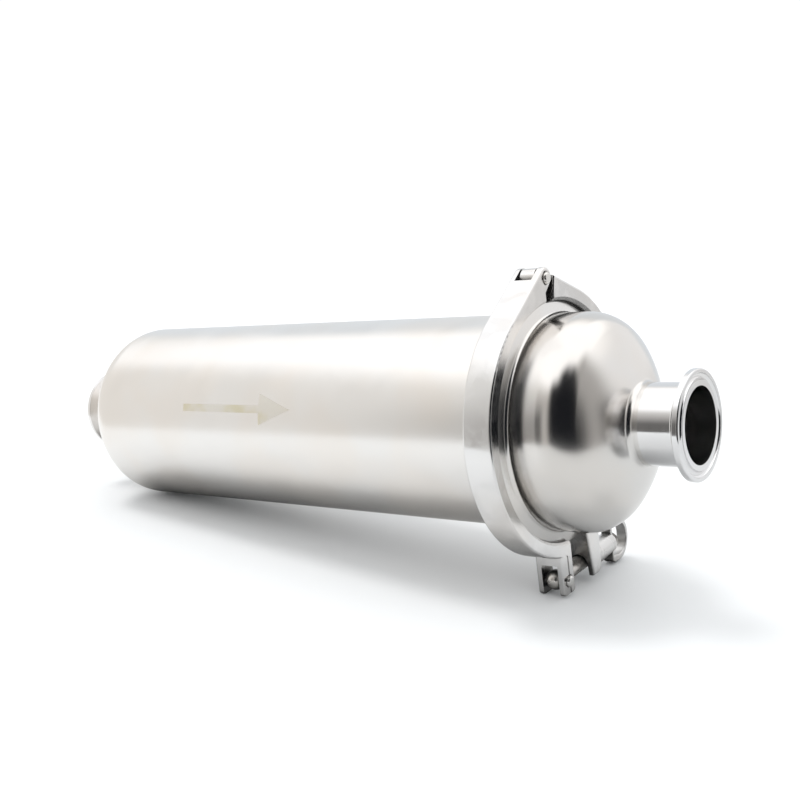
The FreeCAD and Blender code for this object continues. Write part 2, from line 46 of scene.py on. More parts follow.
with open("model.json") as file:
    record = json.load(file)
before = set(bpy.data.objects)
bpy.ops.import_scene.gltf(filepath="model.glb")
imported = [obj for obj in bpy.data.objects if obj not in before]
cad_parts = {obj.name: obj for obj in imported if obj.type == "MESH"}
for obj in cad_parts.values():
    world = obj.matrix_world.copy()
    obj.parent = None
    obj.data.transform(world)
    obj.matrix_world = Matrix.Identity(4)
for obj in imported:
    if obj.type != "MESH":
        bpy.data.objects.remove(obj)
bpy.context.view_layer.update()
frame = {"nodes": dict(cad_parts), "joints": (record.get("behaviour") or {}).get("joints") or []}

MM = 0.001

# Pivot of the swing bolt, from the frame
JOINTS = {joint["name"]: joint for joint in frame["joints"]}
BOLT_PIVOT = Vector(JOINTS["bolt_swing"]["pos_m"])

# Stations and radii, from the frame
TUBE_LOW, TUBE_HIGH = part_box("body_tube")
BODY_FERRULE_LOW, BODY_FERRULE_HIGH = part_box("body_clamp_ferrule")
CAP_FERRULE_LOW, CAP_FERRULE_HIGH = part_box("cap_clamp_ferrule")
CAP_LOW, CAP_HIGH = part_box("cap_dome")
INLET_LOW, INLET_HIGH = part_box("inlet_ferrule")
OUTLET_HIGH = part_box("outlet_ferrule")[1]
BOLT_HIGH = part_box("eye_bolt")[1]
SLEEVE_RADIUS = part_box("strainer_mesh")[1].z
BODY_RADIUS = TUBE_HIGH.z
BODY_FLANGE_RADIUS = BODY_FERRULE_HIGH.z
PORT_FLANGE_RADIUS = OUTLET_HIGH.z

# How finely the surfaces are divided: round a turned one, in degrees along an arc, round the
# bolt's eye and shank, along one pitch of its thread, and across and along the arrow
TURN_STEPS = 192
ARC_STEP = 3.0
EYE_STEPS = 64
SHANK_STEPS = 48
PITCH_STEPS = 12
ARROW_ACROSS = 13
ARROW_SHAFT_STEPS = 24
ARROW_HEAD_STEPS = 16

# Edges that turn by more than these degrees stay sharp
SHARP_ANGLE = 28.0
BOLT_SHARP_ANGLE = 40.0

# Pull of the larger faces on the shading, where 50 is even
LARGE_FACE_PULL = 80
# Largest share of a side that a broken edge takes
BREAK_LIMIT = 0.45
# CAD points in the same cell of this size are one point
WELD_CELL = 0.001 * MM
# How far outside the pin's hole the shank starts within the ball eye
SHANK_START = 0.8 * MM
# How far the etched arrow stands off the tube, and how blunt its tip is
ARROW_STANDOFF = 0.03 * MM
ARROW_BLUNTNESS = 0.01
# How steep the thread's wave is, and how far it sinks before its crest and root are cut flat
WAVE_SLOPE = 1.5
WAVE_SINK = 0.2


class FilterSizes(bpy.types.PropertyGroup):
    """Sizes of the turned sections, the thread and the etched arrow."""
    wall: FloatProperty(
        name="Body wall", description="Wall of the tube and the dished heads",
        default=2.0 * MM, unit="LENGTH", precision=4)
    port_radius: FloatProperty(
        name="Port radius", description="Outside radius of a port's tube",
        default=19.05 * MM, unit="LENGTH", precision=4)
    port_wall: FloatProperty(
        name="Port wall", description="Wall of a port's tube",
        default=1.5 * MM, unit="LENGTH", precision=4)
    crown: FloatProperty(
        name="Crown radius", description="Outside radius of a dished head's crown",
        default=74.0 * MM, unit="LENGTH", precision=4)
    knuckle: FloatProperty(
        name="Knuckle radius", description="Outside radius of the bend from the head to its skirt",
        default=20.0 * MM, unit="LENGTH", precision=4)
    collar_rise: FloatProperty(
        name="Collar rise", description="Height of the drawn collar over the crown",
        default=2.0 * MM, unit="LENGTH", precision=4)
    collar_fillet: FloatProperty(
        name="Collar fillet", description="Outside radius at the foot of the drawn collar",
        default=3.0 * MM, unit="LENGTH", precision=4)
    cap_skirt: FloatProperty(
        name="Cap skirt", description="Straight length below the cap's knuckle",
        default=7.0 * MM, unit="LENGTH", precision=4)
    rim: FloatProperty(
        name="Flange rim", description="Width of a ferrule's rim before it tapers",
        default=2.85 * MM, unit="LENGTH", precision=4)
    taper: FloatProperty(
        name="Flange taper", description="Angle of the back of a ferrule's flange",
        default=math.radians(20.0), unit="ROTATION")
    rim_edge: FloatProperty(
        name="Rim edge", description="Radius between a ferrule's face and its rim",
        default=0.8 * MM, unit="LENGTH", precision=4)
    flange_root: FloatProperty(
        name="Flange root", description="Radius between a flange's taper and its neck",
        default=2.0 * MM, unit="LENGTH", precision=4)
    groove: FloatProperty(
        name="Groove radius", description="Radius of the gasket groove's section",
        default=1.6 * MM, unit="LENGTH", precision=4)
    port_groove: FloatProperty(
        name="Port groove", description="Middle radius of the gasket groove in a port's face",
        default=21.75 * MM, unit="LENGTH", precision=4)
    body_groove: FloatProperty(
        name="Body groove", description="Middle radius of the gasket groove in the clamped joint",
        default=55.0 * MM, unit="LENGTH", precision=4)
    soft_edge: FloatProperty(
        name="Soft edge", description="How far a turned edge is broken with the polishing wheel",
        default=0.18 * MM, unit="LENGTH", precision=5)
    bolt_radius: FloatProperty(
        name="Bolt radius", description="Radius of the swing bolt's shank",
        default=4.0 * MM, unit="LENGTH", precision=4)
    eye_radius: FloatProperty(
        name="Eye radius", description="Radius of the swing bolt's ball eye",
        default=5.0 * MM, unit="LENGTH", precision=4)
    eye_width: FloatProperty(
        name="Eye width", description="Width between the eye's flat sides",
        default=8.4 * MM, unit="LENGTH", precision=4)
    eye_hole: FloatProperty(
        name="Eye hole", description="Radius of the hole for the lower pin",
        default=2.8 * MM, unit="LENGTH", precision=4)
    thread_pitch: FloatProperty(
        name="Thread pitch", description="Rise of the swing bolt's thread in one turn",
        default=1.25 * MM, unit="LENGTH", precision=5)
    thread_depth: FloatProperty(
        name="Thread depth", description="Depth of the swing bolt's thread",
        default=0.68 * MM, unit="LENGTH", precision=5)
    plain_shank: FloatProperty(
        name="Plain shank", description="Length of the swing bolt without thread, from its pin",
        default=24.0 * MM, unit="LENGTH", precision=4)
    arrow_tail: FloatProperty(
        name="Arrow tail", description="Distance of the arrow's tail from the inlet",
        default=125.5 * MM, unit="LENGTH", precision=4)
    arrow_neck: FloatProperty(
        name="Arrow neck", description="Distance of the arrow head's back from the inlet",
        default=185.0 * MM, unit="LENGTH", precision=4)
    arrow_tip: FloatProperty(
        name="Arrow tip", description="Distance of the arrow's tip from the inlet",
        default=207.6 * MM, unit="LENGTH", precision=4)
    arrow_shaft: FloatProperty(
        name="Arrow shaft", description="Half the width of the arrow's shaft",
        default=2.1 * MM, unit="LENGTH", precision=4)
    arrow_head: FloatProperty(
        name="Arrow head", description="Half the width of the arrow's head",
        default=8.5 * MM, unit="LENGTH", precision=4)
    arrow_lift: FloatProperty(
        name="Arrow lift", description="Angle of the arrow above the tube's front",
        default=math.radians(17.0), unit="ROTATION")


class FilterFinish(bpy.types.PropertyGroup):
    """Colours and gloss of the finishes."""
    tube_colour: FloatVectorProperty(
        name="Tube", description="Satin steel of the long tube",
        default=(0.80, 0.785, 0.765), subtype="COLOR", min=0, max=1)
    cap_colour: FloatVectorProperty(
        name="Cap", description="Polished steel of the cap, faintly warm",
        default=(0.715, 0.705, 0.69), subtype="COLOR", min=0, max=1)
    port_colour: FloatVectorProperty(
        name="Ports", description="Mirror-polished steel of the ports",
        default=(0.78, 0.78, 0.785), subtype="COLOR", min=0, max=1)
    clamp_colour: FloatVectorProperty(
        name="Clamp", description="Blasted and tumbled casting",
        default=(0.755, 0.75, 0.745), subtype="COLOR", min=0, max=1)
    bolt_colour: FloatVectorProperty(
        name="Bolt", description="Rolled steel of the swing bolt",
        default=(0.62, 0.60, 0.57), subtype="COLOR", min=0, max=1)
    nut_colour: FloatVectorProperty(
        name="Nut", description="Tumbled casting of the loop nut",
        default=(0.66, 0.655, 0.645), subtype="COLOR", min=0, max=1)
    arrow_colour: FloatVectorProperty(
        name="Arrow", description="Straw tint left by the etching",
        default=(0.90, 0.87, 0.70), subtype="COLOR", min=0, max=1)
    tube_roughness: FloatProperty(
        name="Tube roughness", description="Blur of the tube's reflections",
        default=0.24, min=0, max=1, subtype="FACTOR")
    cap_roughness: FloatProperty(
        name="Cap roughness", description="Blur of the cap's reflections",
        default=0.185, min=0, max=1, subtype="FACTOR")
    arrow_roughness: FloatProperty(
        name="Arrow roughness", description="Blur of the etched arrow's reflections",
        default=0.33, min=0, max=1, subtype="FACTOR")
    clamp_roughness: FloatProperty(
        name="Clamp roughness", description="Blur of the clamp's reflections",
        default=0.17, min=0, max=1, subtype="FACTOR")


class StudioLook(bpy.types.PropertyGroup):
    """Camera, floor and light of the studio."""
    camera_place: FloatVectorProperty(
        name="Camera", description="Place of the camera", default=(0.59555, -0.43978, 0.11779),
        subtype="TRANSLATION", unit="LENGTH")
    camera_right: FloatVectorProperty(
        name="Camera right", description="Direction of the picture's right side",
        default=(0.7876, 0.6019, -0.1317), subtype="DIRECTION")
    camera_ahead: FloatVectorProperty(
        name="Camera ahead", description="Direction that the camera looks in",
        default=(-0.6160, 0.7648, -0.1888), subtype="DIRECTION")
    lens: FloatProperty(
        name="Lens", description="Focal length on a 36 mm sensor", default=48.57, min=1)
    floor_up: FloatVectorProperty(
        name="Floor up", description="Upward direction of the floor that the filter leans on",
        default=(0.115, 0.085, 1.0), subtype="DIRECTION")
    floor_colour: FloatVectorProperty(
        name="Floor", description="Pale studio floor", default=(0.90, 0.905, 0.91),
        subtype="COLOR", min=0, max=1)
    # Painted reflection: the floor's tone in the steel, set apart from the floor that the camera
    # sees
    painted_floor_reflection: FloatProperty(
        name="Floor in the steel", description="How pale the floor looks where steel mirrors it",
        default=0.88, min=0, max=1, subtype="FACTOR")
    key_strength: FloatProperty(
        name="Key light", description="Strength of the broad soft light overhead",
        default=0.76, min=0)
    key_spread: FloatProperty(
        name="Key spread", description="Angle that the key light fills, which softens shadows",
        default=math.radians(19.0), unit="ROTATION")
    key_from: FloatVectorProperty(
        name="Key direction", description="Direction that the key light comes from",
        default=(-0.24, -0.03, 0.97), subtype="DIRECTION")
    fill: FloatProperty(
        name="Fill", description="Even light that the floor takes from all round",
        default=1.14, min=0)


def arc(centre, radius, start, end):
    """Points of a circle's arc: the centre plus the radius times (cosine, sine), in degrees."""
    steps = max(2, math.ceil(abs(end - start) / ARC_STEP))
    angle = np.radians(np.linspace(start, end, steps + 1))
    return np.stack([centre[0] + radius * np.cos(angle), centre[1] + radius * np.sin(angle)], 1)


def placed(name, data):
    """Object of a mesh, lamp or lens, linked to the scene at the origin."""
    made = bpy.data.objects.new(name, data)
    bpy.context.scene.collection.objects.link(made)
    return made


def new_mesh(name, points, faces):
    """Object from an array of points and a list of faces."""
    mesh = bpy.data.meshes.new(name)
    mesh.from_pydata(points.tolist(), [], faces)
    mesh.update()
    return placed(name, mesh)


def smooth(piece, sharp_angle=SHARP_ANGLE):
    """Smooth shading, except over edges that turn by more than the angle."""
    piece.data.shade_smooth()
    piece.data.set_sharp_from_angle(angle=math.radians(sharp_angle))
    return piece


def flattened(piece):
    """Leans the shading of flat faces towards the flat, so that a narrow edge doesn't bend it."""
    weighted = piece.modifiers.new("Flat faces stay flat", "WEIGHTED_NORMAL")
    weighted.keep_sharp = True
    weighted.weight = LARGE_FACE_PULL
    return piece


def grid_faces(rows, columns, rows_close=False, columns_close=False, corners=(0, 1, 2, 3)):
    """Quads between the neighbours of a grid, and from its last to its first where it closes.

    The corners (i, j), (i, j + 1), (i + 1, j + 1) and (i + 1, j) come in the order given.
    """
    i, j = np.meshgrid(np.arange(rows - 1 + rows_close),
                       np.arange(columns - 1 + columns_close), indexing="ij")
    i_next, j_next = (i + 1) % rows, (j + 1) % columns
    quad = (i * columns + j, i * columns + j_next, i_next * columns + j_next,
            i_next * columns + j)
    return np.stack([quad[c].ravel() for c in corners], 1)


def turned_points(outline, around, centre=(0, 0, 0)):
    """Point (i, j) is the centre plus (x_i, r_i cos a_j, r_i sin a_j), for turn a_j."""
    angle = np.linspace(0, 2 * np.pi, around, endpoint=False)
    x = np.repeat(outline[:, 0], around)
    y = np.outer(outline[:, 1], np.cos(angle)).ravel()
    z = np.outer(outline[:, 1], np.sin(angle)).ravel()
    return np.stack([centre[0] + x, centre[1] + y, centre[2] + z], 1)


def broken(outline, width):
    """Closed outline with its sharp corners broken, but for its last two, which are ground flush.

    A corner becomes three points of the parabola that leaves one side at the width from the
    corner and meets the other as far from it: its middle is half the corner and a quarter of
    each end. On a side shorter than the width, the parabola takes a bit less than half of it.
    """
    ends = []
    for shift in (1, -1):
        side = np.roll(outline, shift, axis=0) - outline
        length = np.linalg.norm(side, axis=1, keepdims=True)
        ends.append(side * np.minimum(width / length, BREAK_LIMIT))
    cosine = np.sum(ends[0] * ends[1], axis=1) / np.prod(np.linalg.norm(ends, axis=2), axis=0)
    sharp = cosine > -math.cos(math.radians(SHARP_ANGLE))
    sharp[-2:] = False
    corners = np.stack([outline + ends[0], outline + (ends[0] + ends[1]) / 4,
                        outline + ends[1]], 1)
    corners[~sharp, 1] = outline[~sharp]
    return corners[np.stack([sharp, np.ones_like(sharp), sharp], 1)]


def turned(name, outline):
    """Closed surface of an outline of stations and radii, turned about the flow axis."""
    outline = np.asarray(outline, float)
    ahead = np.roll(outline, -1, axis=0)
    area = np.sum(outline[:, 0] * ahead[:, 1] - ahead[:, 0] * outline[:, 1])
    faces = grid_faces(len(outline), TURN_STEPS, True, True,
                       (1, 2, 3, 0) if area > 0 else (0, 3, 2, 1))
    return flattened(smooth(new_mesh(name, turned_points(outline, TURN_STEPS),
                                     faces.tolist())))


def ferrule_outline(sizes, face, away, length, flange, neck, bore, groove):
    """Section of a clamp ferrule, as depth behind its face and radius.

    Half circle for the groove, quarter circle at the rim, a straight taper, and an arc that
    is tangent to the taper and the neck.
    """
    turn = math.degrees(sizes.taper)
    root, edge = sizes.flange_root, sizes.rim_edge
    foot = sizes.rim + (flange - neck) * math.tan(sizes.taper)
    tangent = root * math.tan(math.radians(90 - turn) / 2)
    local = broken(np.concatenate([
        [(0, bore)],
        arc((0, groove), sizes.groove, -90, 90),
        arc((edge, flange - edge), edge, 180, 90),
        [(sizes.rim, flange)],
        arc((foot + tangent, neck + root), root, -180 + turn, -90),
        [(length, neck), (length, bore)]]), sizes.soft_edge)
    return np.stack([face + away * local[:, 0], local[:, 1]], 1)


def head_outline(sizes, base, away, skirt):
    """Section of a dished head: knuckle arc, crown arc and the collar's fillet, for both skins."""
    knuckle_radius = BODY_RADIUS - sizes.knuckle
    reach = sizes.crown - sizes.knuckle
    depth = sizes.crown - math.sqrt(reach ** 2 - knuckle_radius ** 2)
    centre = depth - sizes.crown
    meet = math.degrees(math.atan2(knuckle_radius, -centre))

    def skin(inset, port, fillet):
        crown = sizes.crown - inset
        fillet_radius = port + fillet
        rise = math.sqrt((crown + fillet) ** 2 - fillet_radius ** 2)
        leave = math.degrees(math.atan2(fillet_radius, rise))
        return np.concatenate([
            arc((0, knuckle_radius), sizes.knuckle - inset, 90, meet),
            arc((centre, 0), crown, meet, leave)[1:],
            arc((centre + rise, fillet_radius), fillet, 180 + leave, 270)[1:]])

    port, bore = sizes.port_radius, sizes.port_radius - sizes.port_wall
    outer = skin(0.0, port, sizes.collar_fillet)
    inner = skin(sizes.wall, bore, sizes.collar_fillet + sizes.port_wall)
    end = depth + sizes.collar_rise
    ends = [outer, [(end, port), (end, bore)], inner[::-1]]
    if skirt > 0:
        ends = [[(-skirt, BODY_RADIUS)]] + ends + [[(-skirt, BODY_RADIUS - sizes.wall)]]
    local = np.concatenate(ends)
    return np.stack([base + away * (skirt + local[:, 0]), local[:, 1]], 1)


def cad_points(cad):
    """Points of a CAD node's mesh."""
    points = np.empty(len(cad.data.vertices) * 3)
    cad.data.vertices.foreach_get("co", points)
    return points.reshape(-1, 3)


def welded(name, cad):
    """Copy of a CAD node with equal points joined, so that its curved faces shade smoothly."""
    mesh = frame["nodes"][cad].data
    mesh.calc_loop_triangles()
    faces = np.empty(len(mesh.loop_triangles) * 3, np.int32)
    mesh.loop_triangles.foreach_get("vertices", faces)
    points = cad_points(frame["nodes"][cad])
    cells = np.round(points / WELD_CELL).astype(np.int64)
    _, first, joined = np.unique(cells, axis=0, return_index=True, return_inverse=True)
    faces = joined.ravel()[faces.reshape(-1, 3)]
    whole = np.all(faces != np.roll(faces, -1, axis=1), axis=1)
    return flattened(smooth(new_mesh(name, points[first], faces[whole].tolist())))


def bolt_eye(sizes):
    """Ball eye, turned about its pin: a ball's arc between two flat sides, and the pin's hole."""
    half = sizes.eye_width / 2
    side = math.degrees(math.acos(half / sizes.eye_radius))
    ball = arc((0, 0), sizes.eye_radius, 180 - side, side)
    section = np.concatenate([[(-half, sizes.eye_hole)], ball, [(half, sizes.eye_hole)]])
    return (turned_points(section, EYE_STEPS, BOLT_PIVOT),
            grid_faces(len(section), EYE_STEPS, True, True, (3, 2, 1, 0)))


def bolt_shank(sizes):
    """Shank with a rolled thread: a radius over length and turn.

    The radius is the shank's, less the thread's depth times a wave: a triangle with its crest
    and root cut flat, of the phase (length / pitch - turn). The wave grows from nothing over
    the first pitch, and a cone brings the radius down at the tip.
    """
    start = BOLT_PIVOT.y + sizes.eye_hole + SHANK_START
    thread = BOLT_PIVOT.y + sizes.plain_shank
    end = BOLT_HIGH.y
    rows = int((end - thread) / sizes.thread_pitch * PITCH_STEPS)
    y = np.concatenate([[start], np.linspace(thread, end, rows)])[:, None]
    turn = (np.arange(SHANK_STEPS) / SHANK_STEPS)[None, :]
    phase = (y / sizes.thread_pitch - turn) % 1.0
    wave = np.clip(WAVE_SLOPE * (1 - np.abs(2 * phase - 1)) - WAVE_SINK, 0, 1)
    grown = np.clip((y - thread) / sizes.thread_pitch, 0, 1)
    radius = sizes.bolt_radius - sizes.thread_depth * wave * grown
    radius = np.minimum(radius, sizes.bolt_radius - sizes.thread_depth + (end - y))
    angle = 2 * np.pi * turn
    points = np.stack([BOLT_PIVOT.x + radius * np.sin(angle), np.broadcast_to(y, radius.shape),
                       BOLT_PIVOT.z + radius * np.cos(angle)], 2).reshape(-1, 3)
    return points, grid_faces(len(y), SHANK_STEPS, columns_close=True)


def swing_bolt(name, sizes):
    """Eye and shank in one mesh; the shank starts inside the ball and its ends are closed."""
    eye_points, eye_faces = bolt_eye(sizes)
    shank_points, shank_faces = bolt_shank(sizes)
    offset = len(eye_points)
    last = offset + len(shank_points)
    ends = [list(range(offset, offset + SHANK_STEPS))[::-1], list(range(last - SHANK_STEPS, last))]
    faces = eye_faces.tolist() + (shank_faces + offset).tolist() + ends
    return smooth(new_mesh(name, np.concatenate([eye_points, shank_points]), faces),
                  BOLT_SHARP_ANGLE)


def arrow_patch(name, sizes, radius):
    """Arrow laid on the tube: station along it, and half-width times -1 to 1 across it.

    The half-width is the shaft's up to the neck, and falls evenly from the head's to nothing
    at the tip. The distance across is turned into an angle round the tube.
    """
    across = np.linspace(-1, 1, ARROW_ACROSS)
    shaft_x = np.linspace(sizes.arrow_tail, sizes.arrow_neck, ARROW_SHAFT_STEPS)
    head_x = np.linspace(sizes.arrow_neck, sizes.arrow_tip, ARROW_HEAD_STEPS)
    share = (sizes.arrow_tip - head_x) / (sizes.arrow_tip - sizes.arrow_neck)
    points, faces, start = [], [], 0
    for x, half in ((shaft_x, np.full(len(shaft_x), sizes.arrow_shaft)),
                    (head_x, sizes.arrow_head * np.maximum(share, ARROW_BLUNTNESS))):
        angle = sizes.arrow_lift + half[:, None] * across[None, :] / radius
        points.append(np.stack([np.broadcast_to(x[:, None], angle.shape),
                                -radius * np.cos(angle), radius * np.sin(angle)],
                               2).reshape(-1, 3))
        faces.append(grid_faces(len(x), ARROW_ACROSS, corners=(0, 3, 2, 1)) + start)
        start += angle.size
    return smooth(new_mesh(name, np.concatenate(points), np.concatenate(faces).tolist()))


# Kinds of sockets, the groups' plain colour, and the tone of the steel's warmer clouds
VALUE, COLOUR = "NodeSocketFloat", "NodeSocketColor"
PLAIN_COLOUR = (0.8, 0.8, 0.8, 1)
WARM_TONE = (1.0, 0.978, 0.955, 1.0)


def feed(made, sockets):
    """Fills a node's sockets or links them, by name or number."""
    for key, value in sockets.items():
        if isinstance(value, bpy.types.NodeSocket):
            made.id_data.links.new(value, made.inputs[key])
        else:
            made.inputs[key].default_value = value


def node(tree, kind, place, sockets=None, **values):
    """Shader node of a tree, with its plain values set and its sockets filled or linked."""
    made = tree.nodes.new("ShaderNode" + kind)
    made.location = place
    for key, value in values.items():
        setattr(made, key, value)
    feed(made, sockets or {})
    return made


def here(tree, place):
    """Coordinates of the piece itself."""
    return node(tree, "TexCoord", place).outputs["Object"]


def noise(tree, place, where, scale, detail=2.0, **more):
    """Cloudy value over the coordinates."""
    return node(tree, "TexNoise", place, {
        "Vector": where, "Scale": scale, "Detail": detail, **more}).outputs["Fac"]


def maths(tree, place, operation, *values):
    """One to three values joined by an operation."""
    return node(tree, "Math", place, dict(enumerate(values)), operation=operation).outputs[0]


def spread(tree, place, value, low, high, start=0.0, end=1.0, kind="SMOOTHSTEP"):
    """Value carried over from the span low to high to the span start to end."""
    return node(tree, "MapRange", place, {
        "Value": value, "From Min": low, "From Max": high, "To Min": start, "To Max": end},
        interpolation_type=kind).outputs["Result"]


def scaled(tree, place, colour, level):
    """Colour times a level."""
    return node(tree, "VectorMath", place, {0: colour, "Scale": level},
                operation="SCALE").outputs[0]


def blend(tree, place, share, first, second, kind="MIX"):
    """First colour, and by the share the second or the product of both."""
    return node(tree, "Mix", place, {"Factor": share, "A": first, "B": second},
                data_type="RGBA", blend_type=kind).outputs["Result"]


def either(tree, place, share, first, second):
    """First shader, and by the share the second."""
    return node(tree, "MixShader", place, {"Fac": share, 1: first, 2: second}).outputs[0]


def new_group(name, inputs, outputs):
    """Group with its inputs (name, kind, default) and outputs (name, kind), and its two ends."""
    group = bpy.data.node_groups.new(name, "ShaderNodeTree")
    for label, kind, default in inputs:
        group.interface.new_socket(name=label, in_out="INPUT",
                                   socket_type=kind).default_value = default
    for label, kind in outputs:
        group.interface.new_socket(name=label, in_out="OUTPUT", socket_type=kind)
    start = group.nodes.new("NodeGroupInput")
    end = group.nodes.new("NodeGroupOutput")
    start.location, end.location = (-900, 0), (700, 0)
    return group, start.outputs, end


def mottle_group(name):
    """Soft clouds left by pickling and wiping: a tint and a change of gloss."""
    group, start, end = new_group(
        name, [("Colour", COLOUR, PLAIN_COLOUR), ("Scale", VALUE, 40.0), ("Tint", VALUE, 0.06),
               ("Roughness", VALUE, 0.3), ("Gloss change", VALUE, 0.05)],
        [("Colour", COLOUR), ("Roughness", VALUE)])
    where = here(group, (-900, -250))
    broad = noise(group, (-650, 100), where, start["Scale"], detail=3.0, Roughness=0.5,
                  Distortion=0.6)
    clouds = spread(group, (-430, 100), broad, 0.38, 0.62, -1.0, 1.0)
    level = maths(group, (-200, 100), "MULTIPLY_ADD", clouds, start["Tint"], 1.0)
    shaded = scaled(group, (0, 200), start["Colour"], level)
    warmth = spread(group, (-430, -200), noise(group, (-650, -200), where, scale=23.0), 0.4, 0.65)
    feed(end, {
        "Colour": blend(group, (230, 150), warmth, shaded, WARM_TONE, "MULTIPLY"),
        "Roughness": maths(group, (230, -150), "MULTIPLY_ADD", clouds, start["Gloss change"],
                           start["Roughness"])})
    return group


def wheel_marks_group(name):
    """Fine lines round the flow axis, as a lathe and a polishing wheel leave them."""
    group, start, end = new_group(
        name, [("Lines per metre", VALUE, 2500.0), ("Run", VALUE, 12.0)], [("Height", VALUE)])
    where = here(group, (-900, -250))
    x, y, z = node(group, "SeparateXYZ", (-700, -250), {"Vector": where}).outputs
    flat = node(group, "VectorMath", (-860, -450), {0: where, 1: (0.0, 1.0, 1.0)},
                operation="MULTIPLY").outputs[0]
    radius = node(group, "VectorMath", (-700, -450), {0: flat},
                  operation="LENGTH").outputs["Value"]
    along = maths(group, (-520, -300), "ADD", x, radius)
    stretched = node(group, "CombineXYZ", (-150, -250), {
        "X": maths(group, (-340, -100), "MULTIPLY", along, start["Lines per metre"]),
        "Y": maths(group, (-340, -280), "MULTIPLY", y, start["Run"]),
        "Z": maths(group, (-340, -460), "MULTIPLY", z, start["Run"])}).outputs[0]
    feed(end, {"Height": noise(group, (50, -150), stretched, scale=1.0, detail=4.0,
                               Roughness=0.6)})
    return group


def cast_grain_group(name):
    """Blasted casting: close grain with a few shallow pits."""
    group, start, end = new_group(
        name, [("Grain", VALUE, 2400.0), ("Pits", VALUE, 260.0)], [("Height", VALUE)])
    where = here(group, (-900, -250))
    grain = noise(group, (-600, 100), where, start["Grain"], detail=3.0, Roughness=0.65)
    cells = node(group, "TexVoronoi", (-600, -200), {"Vector": where, "Scale": start["Pits"]},
                 feature="F1").outputs["Distance"]
    pits = spread(group, (-380, -200), cells, 0.0, 0.16, -1.4, 0.0)
    feed(end, {"Height": maths(group, (-100, 0), "ADD", grain, pits)})
    return group


def painted_recess_shade_group(name):
    """Painted shade in a casting's recesses, where ambient occlusion finds it closed in: darker
    colour, and duller gloss.
    """
    group, start, end = new_group(
        name, [("Colour", COLOUR, PLAIN_COLOUR), ("Roughness", VALUE, 0.3),
               ("Reach", VALUE, 13.0 * MM), ("Darkest", VALUE, 0.3)],
        [("Colour", COLOUR), ("Roughness", VALUE)])
    openness = node(group, "AmbientOcclusion", (-650, 0), {"Distance": start["Reach"]},
                    samples=12).outputs["AO"]
    # Painted shade: the colour falls to the darkest level where the casting is most closed in
    level = spread(group, (-430, 0), openness, 0.15, 0.7, start["Darkest"], 1.0)
    duller = spread(group, (0, -150), openness, 0.15, 0.85, 0.2, 0.0, "LINEAR")
    feed(end, {
        "Colour": scaled(group, (0, 200), start["Colour"], level),
        "Roughness": maths(group, (230, -150), "ADD", start["Roughness"], duller)})
    return group


def effect(tree, place, name, maker, sockets):
    """Shared group placed in a material, and made the first time that it is asked for."""
    return node(tree, "Group", place, sockets,
                node_tree=bpy.data.node_groups.get(name) or maker(name)).outputs


def emptied(owner):
    """Node tree of a material or world, without the nodes that it starts with."""
    owner.use_nodes = True
    owner.node_tree.nodes.clear()
    return owner.node_tree


def new_material(name):
    """Material, its node tree and its Principled shader."""
    material = bpy.data.materials.new(name)
    tree = emptied(material)
    shader = node(tree, "BsdfPrincipled", (400, 0))
    node(tree, "OutputMaterial", (700, 0), {"Surface": shader.outputs["BSDF"]})
    return material, tree, shader


def raised(tree, shader, height, strength, distance):
    """Gives a shader the normal of a height."""
    bump = node(tree, "Bump", (150, -250), {
        "Strength": strength, "Distance": distance, "Height": height})
    feed(shader, {"Normal": bump.outputs["Normal"]})


def steel(name, colour, roughness, tint=0.05, gloss_change=0.04, cloud_scale=40.0,
          lines=0.0, line_count=2500.0, grain=0.0, recess_shade=0.0, reach=8.0 * MM):
    """Steel: clouds of tint and gloss, polishing lines or cast grain, painted shade in dull
    recesses.
    """
    material, tree, shader = new_material(name)
    finish = effect(tree, (-200, 100), "Steel mottling", mottle_group, {
        "Colour": (*colour, 1), "Scale": cloud_scale, "Tint": tint, "Roughness": roughness,
        "Gloss change": gloss_change})
    # Painted shade: darkens the colour in recesses and makes them duller
    if recess_shade > 0:
        finish = effect(tree, (100, 100), "Painted shade in recesses, and dulling", painted_recess_shade_group, {
            "Colour": finish["Colour"], "Roughness": finish["Roughness"], "Reach": reach,
            "Darkest": 1 - recess_shade})
    feed(shader, {"Metallic": 1.0, "Base Color": finish["Colour"],
                  "Roughness": finish["Roughness"]})
    if lines > 0:
        marks = effect(tree, (-200, -250), "Polishing lines", wheel_marks_group,
                       {"Lines per metre": line_count})
        raised(tree, shader, marks["Height"], lines, distance=0.02 * MM)
    if grain > 0:
        cast = effect(tree, (-200, -250), "Cast grain", cast_grain_group, {})
        raised(tree, shader, cast["Height"], grain, distance=0.04 * MM)
    return material


def etched(name, steel_colour, straw, roughness):
    """Etched mark: bare steel that the current has dulled, straw in some places only."""
    material = steel(name, steel_colour, roughness, tint=0.02, cloud_scale=90.0)
    tree = material.node_tree
    shader = tree.nodes["Principled BSDF"]
    plain = shader.inputs["Base Color"].links[0].from_socket
    patch = noise(tree, (-500, 400), here(tree, (-700, 400)), scale=55.0)
    share = spread(tree, (-300, 400), patch, 0.42, 0.66, 0.25, 1.0)
    feed(shader, {"Base Color": blend(tree, (100, 300), share, plain, (*straw, 1),
                                      "MULTIPLY")})
    return material


def moulded_rubber(name):
    """White gasket rubber with a fine moulded grain."""
    material, tree, shader = new_material(name)
    grain = noise(tree, (-500, 0), here(tree, (-700, 0)), scale=900.0, detail=3.0)
    feed(shader, {"Roughness": 0.55, "Base Color": blend(
        tree, (-250, 100), grain, (0.84, 0.84, 0.81, 1), (0.91, 0.91, 0.88, 1))})
    raised(tree, shader, grain, strength=0.3, distance=0.03 * MM)
    return material


